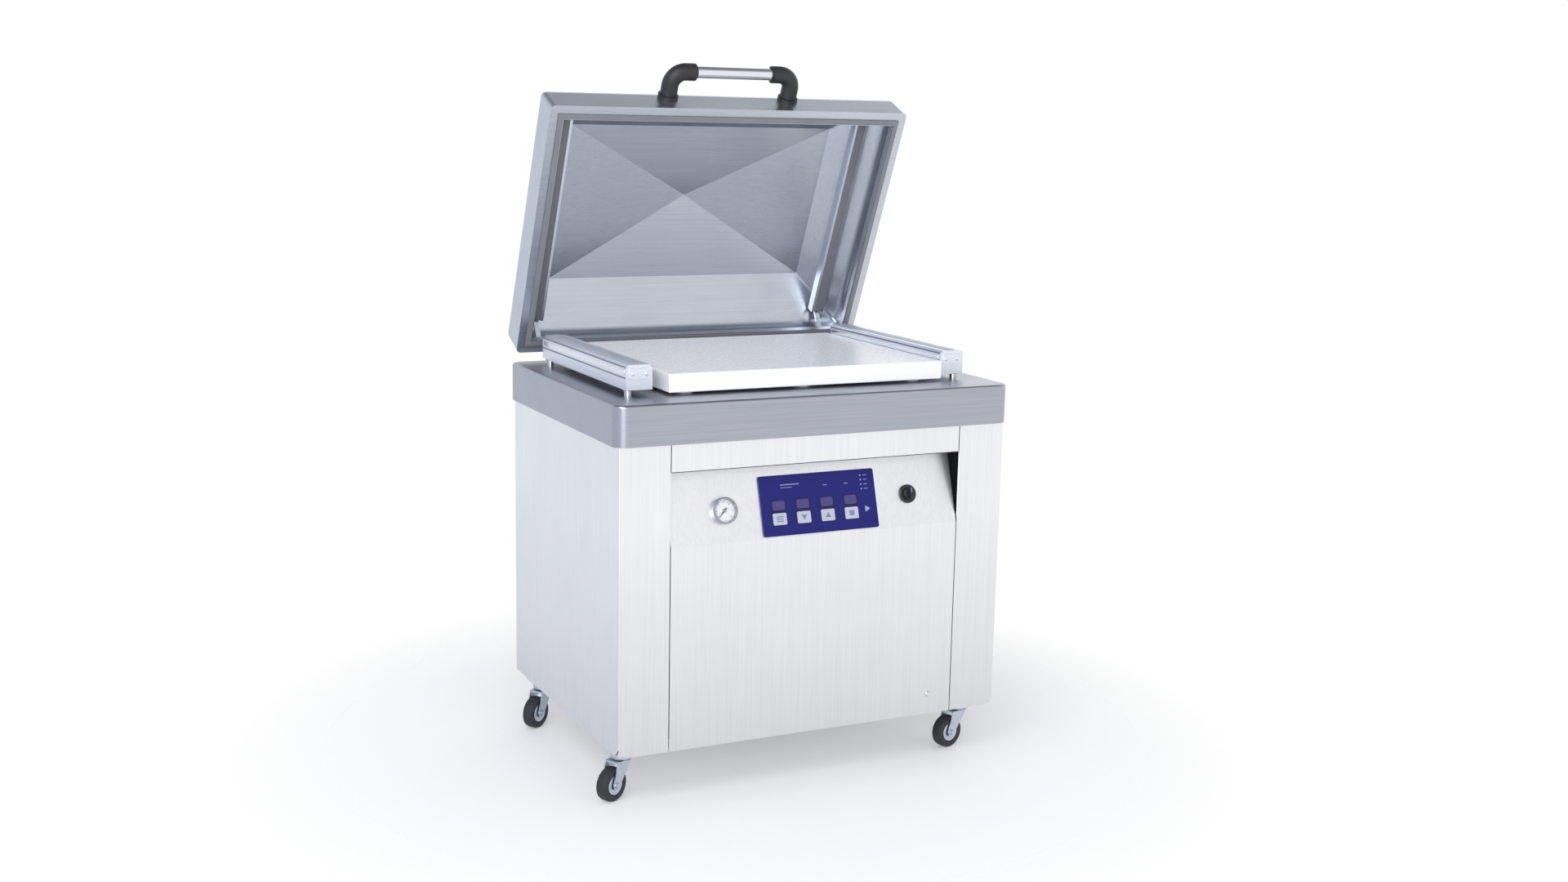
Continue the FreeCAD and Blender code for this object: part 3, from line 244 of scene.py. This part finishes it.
def woven_tape():
    """Coated glass cloth over the sealing wire."""
    made = Mat("BarTape").fixed(Coat_Weight=0.3, Coat_Roughness=0.35)
    threads = 620
    warp = made.wave(threads, "X")
    weft = made.wave(threads, "Y")
    weave = made.math("MULTIPLY", warp, weft)
    cloud = made.noise(40, 3)
    tint = made.mix(made.levels(weave, 0, 1, 0, 1), rgb(150, 158, 172), rgb(205, 212, 226))
    made.colour(made.mix(made.levels(cloud, 0, 0.3), tint, rgb(176, 176, 176)))
    made.roughness(made.levels(weave, 0.38, 0.6, 0, 1))
    made.height(weave, 0.3, 0.0003)
    return made.mat


def clear_glass():
    made = Mat("ClearGlass").fixed(Transmission_Weight=1.0, IOR=1.46, Alpha=0.35)
    smear = made.noise(60, 4)
    made.colour(made.mix(made.levels(smear, 0, 1), (0.96, 0.98, 1, 1), (1, 1, 1, 1)))
    made.roughness(made.levels(smear, 0.02, 0.09))
    return made.mat


LOOKS["bar_tape"] = woven_tape()
LOOKS["clear_glass"] = clear_glass()
LOOKS["label_dark"] = plastic("LabelDark", rgb(30, 28, 70), 0.42, 1200, 0.05, 0, 0.06, 0.22)
LOOKS["label_violet"] = plastic("LabelViolet", rgb(74, 66, 118), 0.42, 1200, 0.05, 0, 0.06, 0.22)
LOOKS["label_pale"] = plastic("LabelPale", rgb(150, 154, 196), 0.4, 1200, 0.05)
LOOKS["mark_grey"] = plastic("MarkGrey", rgb(120, 122, 150), 0.4, 1200, 0.05)
LOOKS["mark_black"] = plastic("MarkBlack", rgb(60, 60, 70), 0.4, 1200, 0.05)
LOOKS["mark_blue"] = plastic("MarkBlue", rgb(120, 126, 190), 0.4, 1200, 0.05)

node_slot = {entry["node"]: entry["material_slot"] for entry in frame["record"]["subparts"]}
for name, item in nodes.items():
    item.data.materials.clear()
    item.data.materials.append(LOOKS[node_slot[name]])


# ---------------------------------------------------------------- small pieces in mesh code

class Sheet:
    """Collects solids in one mesh, drawn in a local frame whose z points out of the surface."""

    def __init__(self, name):
        self.name = name
        self.bm = bmesh.new()

    def solid(self, verts, faces, frame_now):
        made = [self.bm.verts.new(frame_now @ Vector(v)) for v in verts]
        for face in faces:
            self.bm.faces.new([made[n] for n in face])

    def slab(self, frame_now, outline, low, high, edge=0.0):
        """An outline raised from low to high, its top edge drawn in by edge."""
        count = len(outline)
        cx = sum(p[0] for p in outline)/count
        cy = sum(p[1] for p in outline)/count

        def inward(point):
            dx, dy = point[0] - cx, point[1] - cy
            span = math.hypot(dx, dy) or 1
            return point[0] - dx/span*edge, point[1] - dy/span*edge

        rings = [[(x, y, low) for x, y in outline]]
        if edge:
            rings.append([(x, y, high - edge) for x, y in outline])
            rings.append([(*inward(point), high) for point in outline])
        else:
            rings.append([(x, y, high) for x, y in outline])
        verts = [v for ring in rings for v in ring]
        faces = [tuple(reversed(range(count))), tuple(range(len(verts) - count, len(verts)))]
        for level in range(len(rings) - 1):
            base = level*count
            for n in range(count):
                following = (n + 1) % count
                faces.append((base + n, base + following, base + count + following, base + count + n))
        self.solid(verts, faces, frame_now)

    def lathe(self, frame_now, profile, segments):
        """A profile of (radius, height) turned about local z; radius 0 ends close it."""
        rings = []
        for radius, height in profile:
            if radius < 1e-7:
                rings.append([self.bm.verts.new(frame_now @ Vector((0, 0, height)))])
                continue
            rings.append([self.bm.verts.new(frame_now @ Vector((x, y, height)))
                          for x, y in regular(segments, radius)])
        for lower, upper in zip(rings, rings[1:]):
            for n in range(segments):
                following = (n + 1) % segments
                if len(lower) == 1 and len(upper) == 1:
                    continue
                if len(lower) == 1:
                    self.bm.faces.new((lower[0], upper[following], upper[n]))
                elif len(upper) == 1:
                    self.bm.faces.new((lower[n], lower[following], upper[0]))
                else:
                    self.bm.faces.new((lower[n], lower[following], upper[following], upper[n]))

    def done(self, body, look):
        bmesh.ops.recalc_face_normals(self.bm, faces=self.bm.faces)
        mesh = bpy.data.meshes.new(self.name)
        self.bm.to_mesh(mesh)
        self.bm.free()
        item = bpy.data.objects.new(self.name, mesh)
        bpy.context.scene.collection.objects.link(item)
        mesh.materials.append(LOOKS[look])
        for polygon in mesh.polygons:
            polygon.use_smooth = True
        mesh.set_sharp_from_angle(angle=SHARP_ABOVE)
        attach(item, body)


SHARP_ABOVE = math.radians(35)


def rounded(wide, tall, radius, x=0.0, y=0.0, steps=5):
    """A rounded rectangle about (x, y)."""
    points = []
    for turn, (sx, sy) in enumerate(((1, 1), (-1, 1), (-1, -1), (1, -1))):
        cx, cy = x + sx*(wide/2 - radius), y + sy*(tall/2 - radius)
        for n in range(steps + 1):
            angle = math.pi/2*(turn + n/steps)
            points.append((cx + radius*math.cos(angle), cy + radius*math.sin(angle)))
    return points


def regular(count, radius, x=0.0, y=0.0):
    """A regular polygon about (x, y)."""
    turns = [2*math.pi*n/count for n in range(count)]
    return [(x + radius*math.cos(turn), y + radius*math.sin(turn)) for turn in turns]


def axes(origin, out, above):
    """A frame at origin with z along out and y as near above as it can be."""
    z = Vector(out).normalized()
    x = Vector(above).cross(z).normalized()
    y = z.cross(x)
    return Matrix.Translation(origin) @ Matrix((x, y, z)).transposed().to_4x4()


def middle(name):
    lowest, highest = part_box(name)
    return (Vector(lowest) + Vector(highest))/2


def joint(name):
    return next(j for j in frame["joints"] if j["name"] == name)


# Out of the leaning front panel, and up along it.
LEAN = -Vector(joint("set_key_press")["axis"])
LEAN_UP = Vector((1, 0, 0)).cross(LEAN)*-1
OPEN = math.radians(-66)          # the lid's turn from shut to open
HINGE = Vector(joint("lid_hinge")["pos_m"])


def lid_point(x, y, z):
    """A point given with the lid shut, carried to where it is with the lid open."""
    turned = Matrix.Rotation(OPEN, 3, "X") @ (Vector((x, y, z)) - HINGE)
    return turned + HINGE


def lid_way(x, y, z):
    return Matrix.Rotation(OPEN, 3, "X") @ Vector((x, y, z))


def bolt_at(piece, place, out, radius, tall, above=(0, 0, 1)):
    """A hexagon head on a washer."""
    here = axes(place, out, above)
    washer = 0.001
    piece.lathe(here, [(0, 0), (radius*1.5, 0), (radius*1.5, washer), (0, washer)], 28)
    piece.slab(here, regular(6, radius), washer, tall, 0.0005)


KEYS = ("set_key", "down_key", "up_key", "stop_key")
INK = 0.0003                      # how far a printed mark stands out
UNDERPRINT = 0.0002               # the same for the dark print under the key labels


def panel_graphics():
    """Printed marks on the membrane plate: surrounds of the keys, labels above them and small symbols."""
    centre = middle("control_panel") + LEAN*0.002
    here = axes(centre, LEAN, LEAN_UP)
    key_x = [middle(name).x - centre.x for name in KEYS]
    patches = Sheet("PanelPatches")
    for x in key_x:
        patches.slab(here, rounded(0.036, 0.0279, 0.003, x, -0.00205), 0, UNDERPRINT)
        for left, right, low, high in ((-0.018, 0.018, -0.0445, -0.0430), (-0.018, -0.0169, -0.0430, -0.0160),
                                       (0.0169, 0.018, -0.0430, -0.0160)):
            patches.slab(here, [(x + left, low), (x + right, low), (x + right, high), (x + left, high)],
                         0, UNDERPRINT)
    patches.done("machine", "label_dark")
    tops = Sheet("PanelKeyLabels")
    for x in key_x:
        tops.slab(here, rounded(0.030, 0.020, 0.004, x), UNDERPRINT, UNDERPRINT + INK)
    tops.done("machine", "label_violet")
    pale = Sheet("PanelSymbols")
    pale.slab(here, rounded(0.046, 0.0016, 0.0006, -0.068, 0.044), 0, INK)
    pale.slab(here, rounded(0.028, 0.0010, 0.0004, -0.077, 0.038), 0, INK)
    pale.slab(here, [(0.112, -0.030), (0.124, -0.023), (0.112, -0.016)], 0, 0.0004)
    for x in (0.018, 0.070):
        pale.slab(here, rounded(0.010, 0.0012, 0.0004, x, 0.037), 0, INK)
    for row in range(4):
        row_y = 0.052 - row*0.010
        pale.slab(here, regular(16, 0.0018, 0.108, row_y), 0, INK)
        pale.slab(here, rounded(0.009, 0.0012, 0.0004, 0.119, row_y), 0, INK)
    pale.done("machine", "label_pale")
    shapes = {
        "set_key": [rounded(0.016, 0.0022, 0.0008), rounded(0.016, 0.0022, 0.0008, 0, -0.005),
                    rounded(0.016, 0.0022, 0.0008, 0, 0.005)],
        "down_key": [[(-0.007, 0.005), (0, -0.006), (0.007, 0.005)]],
        "up_key": [[(-0.007, -0.005), (0.007, -0.005), (0, 0.006)]],
        "stop_key": [rounded(0.012, 0.012, 0.002)],
    }
    for name in KEYS:
        lowest, highest = (Vector(v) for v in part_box(name))
        face = (lowest + highest)/2 + LEAN*0.001
        sign = Sheet("Sign_" + name)
        for outline in shapes[name]:
            sign.slab(axes(face, LEAN, LEAN_UP), outline, 0, 0.00035)
        sign.done(name + "_cap", "mark_grey")


def gauge_face():
    """Ticks and a coloured arc on the dial, and the needle's hub."""
    centre = middle("gauge_dial") + LEAN*0.0007
    here = axes(centre, LEAN, LEAN_UP)
    start, step, steps = 225, 9, 30          # degrees: 270 of them, clockwise from the lower left
    ticks = Sheet("GaugeTicks")
    for n in range(steps + 1):
        angle = math.radians(start - step*n)
        long = n % 5 == 0
        inner, outer, half = (0.0165 if long else 0.0188), 0.0212, (0.00045 if long else 0.00022)
        ux, uy = math.cos(angle), math.sin(angle)
        ticks.slab(here, [(inner*ux + half*uy, inner*uy - half*ux), (outer*ux + half*uy, outer*uy - half*ux),
                          (outer*ux - half*uy, outer*uy + half*ux), (inner*ux - half*uy, inner*uy + half*ux)],
                   0, INK)
    ticks.done("machine", "mark_black")
    arc = Sheet("GaugeArc")
    inner, outer, coloured_steps = 0.0216, 0.0222, 12
    for n in range(coloured_steps):
        first, last = (math.radians(start - step*k) for k in (n, n + 1))
        corners = [(outer, first), (inner, first), (inner, last), (outer, last)]
        arc.slab(here, [(radius*math.cos(turn), radius*math.sin(turn)) for radius, turn in corners], 0, INK)
    arc.done("machine", "mark_blue")
    hub = Sheet("NeedleHub")
    pivot = middle("gauge_dial") + LEAN*0.003
    hub.lathe(axes(pivot, LEAN, LEAN_UP),
              [(0, 0), (0.0030, 0), (0.0030, 0.0010), (0.0018, 0.0016), (0, 0.0016)], 28)
    hub.done("needle", "gauge_ring")


def switch_marks():
    """Pale pointer line on the knob."""
    pivot = Vector(joint("mains_switch_turn")["pos_m"])
    top = max((Vector(v.co) - pivot).dot(LEAN) for v in nodes["mains_switch_knob"].data.vertices)
    here = axes(pivot + LEAN*top, LEAN, LEAN_UP)
    line = Sheet("SwitchPointer")
    line.slab(here, rounded(0.0016, 0.010, 0.0007, 0, 0.0065), 0, INK)
    line.done("knob", "label_pale")


def bar_fittings():
    """End clamps, grey side strips whose colour paints the shade in the bar's grooves, bright side strips and post
    collars of the sealing bars.
    """
    for side in ("left", "right"):
        (x0, y0, z0), (x1, y1, z1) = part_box("seal_bar_" + side)
        body = "seal_lift_" + side
        wide, cx = x1 - x0, (x0 + x1)/2
        clamps = Sheet("SealBarClamps_" + side)
        for y, out in ((y0, -1), (y1, 1)):
            here = axes((cx, y, (z0 + z1)/2), (0, out, 0), (0, 0, 1))
            clamps.slab(here, rounded(wide*0.78, (z1 - z0)*0.44, 0.003, 0, (z1 - z0)*0.14), 0, 0.002, 0.0006)
            for x in (-wide*0.25, wide*0.25):
                clamps.lathe(here @ Matrix.Translation((x, (z1 - z0)*0.14, 0.002)),
                             [(0, 0), (0.0036, 0), (0.0036, 0.0016), (0.0026, 0.0022), (0, 0.0022)], 20)
        clamps.done(body, "bar_aluminium")
        # Painted shade: two grey strips along each side of the bar stand for grooves, their colour the shade in
        # them.
        groove_shade = Sheet("SealBarGrooveShade_" + side)
        for x, out in ((x0, -1), (x1, 1)):
            here = axes((x, (y0 + y1)/2, z1 - 0.0055), (out, 0, 0), (0, 0, 1))
            groove_shade.slab(here, rounded(y1 - y0 - 0.004, 0.0036, 0.0008), 0, 0.0007)
            groove_shade.slab(here, rounded(y1 - y0 - 0.004, 0.0030, 0.0008, 0, -0.0230), 0, 0.0007)
        groove_shade.done(body, "soft_rubber")
        strips = Sheet("SealBarStrips_" + side)
        for x, out in ((x0, -1), (x1, 1)):
            here = axes((x, (y0 + y1)/2, z1 - 0.017), (out, 0, 0), (0, 0, 1))
            strips.slab(here, rounded(y1 - y0 - 0.02, 0.010, 0.002), 0, 0.0012, 0.0004)
        strips.done(body, "bright_steel")
        collars = Sheet("PostCollars_" + side)
        posts = nodes["seal_posts_" + side].data.vertices
        for end in (-1, 1):
            picked = [v.co for v in posts if v.co.z > z0 - 0.002 and (v.co.y - (y0 + y1)/2)*end > 0]
            px = (min(v.x for v in picked) + max(v.x for v in picked))/2
            py = (min(v.y for v in picked) + max(v.y for v in picked))/2
            collars.lathe(Matrix.Translation((px, py, z0 - 0.003)),
                          [(0.0082, 0), (0.0105, 0), (0.0115, 0.0015), (0.0115, 0.003), (0.0082, 0.003),
                           (0.0082, 0)], 32)
        collars.done(body, "bright_steel")


def hinge_bolts():
    """Bolts through the hinge arm plates, the brackets' base plates and the gas spring plates."""
    arm = Sheet("ArmBolts")
    base = Sheet("BracketBolts")
    _, deck_back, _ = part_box("chamber_deck")[1]
    _, cab_back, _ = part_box("rear_panel")[1]
    head = 0.0042
    arm_face = HINGE.y - 0.018               # outer face of the arm plates, with the lid shut
    base_face = deck_back + 0.006
    spring_face = cab_back + 0.004
    for hinge_x in (-0.300, 0.300):
        for dx in (-0.018, 0.018):
            for z in (0.902, 0.938):
                bolt_at(arm, lid_point(hinge_x + dx, arm_face, z), lid_way(0, 1, 0), head, head)
            for z in (0.806, 0.836):
                bolt_at(base, (hinge_x + dx*1.2, base_face, z), (0, 1, 0), head, head)
            for z in (0.640, 0.735):
                bolt_at(base, (hinge_x + dx, spring_face, z), (0, 1, 0), head, head)
    arm.done("lid", "bright_steel")
    base.done("machine", "bright_steel")


def caster_details():
    """Hub caps and sidewall rings on the wheels, and bolts under the caster plates."""
    plate_under, spread = 0.109, 0.025
    for j in frame["joints"]:
        if not j["name"].startswith("wheel_turn_"):
            continue
        corner = j["name"][len("wheel_turn_"):]
        centre, axle = Vector(j["pos_m"]), Vector(j["axis"])
        caps = Sheet("WheelCaps_" + corner)
        treads = Sheet("TyreRings_" + corner)
        for out in (-1, 1):
            here = axes(centre, axle*out, (0, 0, 1))
            caps.lathe(here, [(0.0105, 0.0108), (0.0215, 0.0112), (0.0222, 0.0122), (0.0215, 0.0128),
                              (0.0120, 0.0136), (0.0105, 0.0130), (0.0105, 0.0108)], 44)
            treads.lathe(here, [(0.0300, 0.0134), (0.0315, 0.0137), (0.0330, 0.0134), (0.0300, 0.0134)], 56)
        caps.done("wheel_" + corner, "zinc_plate")
        treads.done("wheel_" + corner, "caster_tyre")
        swivel = Vector(joint("swivel_turn_" + corner)["pos_m"])
        bolts = Sheet("PlateBolts_" + corner)
        for dx in (-spread, spread):
            for dy in (-spread, spread):
                bolt_at(bolts, (swivel.x + dx, swivel.y + dy, plate_under), (0, 0, -1), 0.0045, 0.004,
                        (0, 1, 0))
        bolts.done("machine", "zinc_plate")


def cabinet_details():
    """Vent lips and an earth stud on the back, and a dark strip under the front header that paints its shadow."""
    _, back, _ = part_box("rear_panel")[1]
    slots, lowest_slot, pitch, above_slot = 9, 0.204, 0.020, 0.0055
    lips = Sheet("LouvreLips")
    for x in (-0.125, 0.125):
        for n in range(slots):
            here = axes((x, back, lowest_slot + n*pitch + above_slot), (0, 1, 0), (0, 0, 1))
            lips.slab(here, rounded(0.108, 0.0035, 0.0012), 0, 0.0028, 0.0012)
    lips.done("machine", "cabinet_steel")
    (x0, front, low), (x1, _, _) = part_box("front_header")
    # Painted shadow: a thin dark strip along the header's lower edge, where its shadow falls.
    header_shadow = Sheet("HeaderShadow")
    here = axes(((x0 + x1)/2, front, low + 0.0008), (0, -1, 0), (0, 0, 1))
    header_shadow.slab(here, rounded(x1 - x0 - 0.002, 0.0016, 0.0004), 0, INK)
    header_shadow.done("machine", "mark_black")
    stud = Sheet("EarthStud")
    bolt_at(stud, (0.300, back, 0.150), (0, 1, 0), 0.0045, 0.006)
    stud.done("machine", "bright_steel")


def handle_details():
    """Collars where the tube enters the elbows."""
    (_, y0, z0), (_, y1, z1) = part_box("handle_tube")
    cy, cz = (y0 + y1)/2, (z0 + z1)/2
    elbow_end = 0.0985
    rings = Sheet("HandleCollars")
    for side in (-1, 1):
        here = axes((side*elbow_end, cy, cz), (-side, 0, 0), (0, 0, 1))
        rings.lathe(here, [(0.0142, 0), (0.0165, 0), (0.0165, 0.0025), (0.0155, 0.004), (0.0142, 0.004),
                           (0.0142, 0)], 44)
    rings.done("lid", "black_plastic")


# ---------------------------------------------------------------- camera, light and floor

def area(name, place, target, width, tall, power):
    light = bpy.data.lights.new(name, "AREA")
    light.shape = "RECTANGLE"
    light.size, light.size_y = width, tall
    light.energy = power
    item = bpy.data.objects.new(name, light)
    bpy.context.scene.collection.objects.link(item)
    item.location = place
    item.rotation_euler = (Vector(target) - item.location).to_track_quat("-Z", "Y").to_euler()


def set_camera():
    """Standing eye height, to the user's left of the machine, looking slightly down."""
    place = (-1.7733, -3.7631, 1.4644)
    bearing, dip, roll = (math.radians(angle) for angle in (26.6, 10.3, 1.2))
    view = Vector((math.sin(bearing)*math.cos(dip), math.cos(bearing)*math.cos(dip), -math.sin(dip)))
    right = Vector((math.cos(bearing), -math.sin(bearing), 0))
    above = right.cross(view)
    turned_right = right*math.cos(roll) + above*math.sin(roll)
    turned_up = above*math.cos(roll) - right*math.sin(roll)
    data = bpy.data.cameras.new("Camera")
    data.sensor_width = 36
    data.lens = 40.87
    camera = bpy.data.objects.new("Camera", data)
    bpy.context.scene.collection.objects.link(camera)
    basis = Matrix((turned_right, turned_up, -view)).transposed().to_4x4()
    camera.matrix_world = Matrix.Translation(place) @ basis
    bpy.context.scene.camera = camera


def set_floor():
    """A white sheet that fades out through its alpha away from the machine."""
    mesh = bpy.data.meshes.new("StudioFloor")
    reach = 14
    mesh.from_pydata([(-reach, -reach, 0), (reach, -reach, 0), (reach, reach, 0), (-reach, reach, 0)],
                     [], [(0, 1, 2, 3)])
    floor = bpy.data.objects.new("StudioFloor", mesh)
    bpy.context.scene.collection.objects.link(floor)
    made = Mat("FloorPaper")
    cloud = made.noise(1.3, 3)
    made.colour(made.mix(made.levels(cloud, 0, 1), rgb(248, 249, 251), rgb(252, 252, 253)))
    made.roughness(made.levels(made.noise(60, 3), 0.7, 0.85))
    length = made.node("VectorMath", operation="LENGTH")
    made.link(made.coords, length.inputs[0])
    fade = made.levels(length.outputs["Value"], 0.8, 0.0, 0.5, 1.2)
    made.link(fade, made.shader.inputs["Alpha"])
    mesh.materials.append(made.mat)


def set_world():
    """Light from all round, white at the horizon and dark overhead, and a plain white background."""
    world = bpy.data.worlds.new("Studio")
    world.use_nodes = True
    tree = world.node_tree
    sky = tree.nodes["Background"]
    way = tree.nodes.new("ShaderNodeTexCoord")
    split = tree.nodes.new("ShaderNodeSeparateXYZ")
    tree.links.new(way.outputs["Generated"], split.inputs["Vector"])
    ramp = tree.nodes.new("ShaderNodeValToRGB")
    elements = ramp.color_ramp.elements
    elements[0].position, elements[0].color = 0.42, (1.0, 1.0, 1.0, 1)
    elements[1].position, elements[1].color = 0.85, (0.22, 0.235, 0.265, 1)
    tree.links.new(split.outputs["Z"], ramp.inputs["Fac"])
    side = tree.nodes.new("ShaderNodeValToRGB")
    side.color_ramp.elements[0].position, side.color_ramp.elements[0].color = 0.15, (0.76, 0.80, 0.88, 1)
    side.color_ramp.elements[1].position, side.color_ramp.elements[1].color = 0.75, (1, 1, 1, 1)
    half = tree.nodes.new("ShaderNodeMapRange")
    half.inputs["From Min"].default_value = -1
    tree.links.new(split.outputs["X"], half.inputs["Value"])
    tree.links.new(half.outputs["Result"], side.inputs["Fac"])
    shade = tree.nodes.new("ShaderNodeMixRGB")
    shade.blend_type = "MULTIPLY"
    shade.inputs["Fac"].default_value = 1
    tree.links.new(ramp.outputs["Color"], shade.inputs["Color1"])
    tree.links.new(side.outputs["Color"], shade.inputs["Color2"])
    tree.links.new(shade.outputs["Color"], sky.inputs["Color"])
    sky.inputs["Strength"].default_value = 1.1
    backdrop = tree.nodes.new("ShaderNodeBackground")
    backdrop.inputs["Color"].default_value = (1, 1, 1, 1)
    path = tree.nodes.new("ShaderNodeLightPath")
    blend = tree.nodes.new("ShaderNodeMixShader")
    tree.links.new(path.outputs["Is Camera Ray"], blend.inputs["Fac"])
    tree.links.new(sky.outputs["Background"], blend.inputs[1])
    tree.links.new(backdrop.outputs["Background"], blend.inputs[2])
    tree.links.new(blend.outputs["Shader"], tree.nodes["World Output"].inputs["Surface"])
    bpy.context.scene.world = world
    bpy.context.scene.view_settings.view_transform = "Standard"


def set_lights():
    area("KeyLight", (-2.6, -2.4, 3.6), (0, 0, 0.7), 2.4, 2.4, 75)
    area("FrontLight", (-2.2, -4.0, 1.5), (0, 0, 0.8), 2.0, 1.6, 60)
    area("BackLight", (2.6, 3.0, 3.0), (0, 0, 0.8), 2.4, 2.0, 8)


for build in (panel_graphics, gauge_face, switch_marks, bar_fittings, hinge_bolts, caster_details,
              cabinet_details, handle_details):
    build()
set_camera()
set_floor()
set_world()
set_lights()
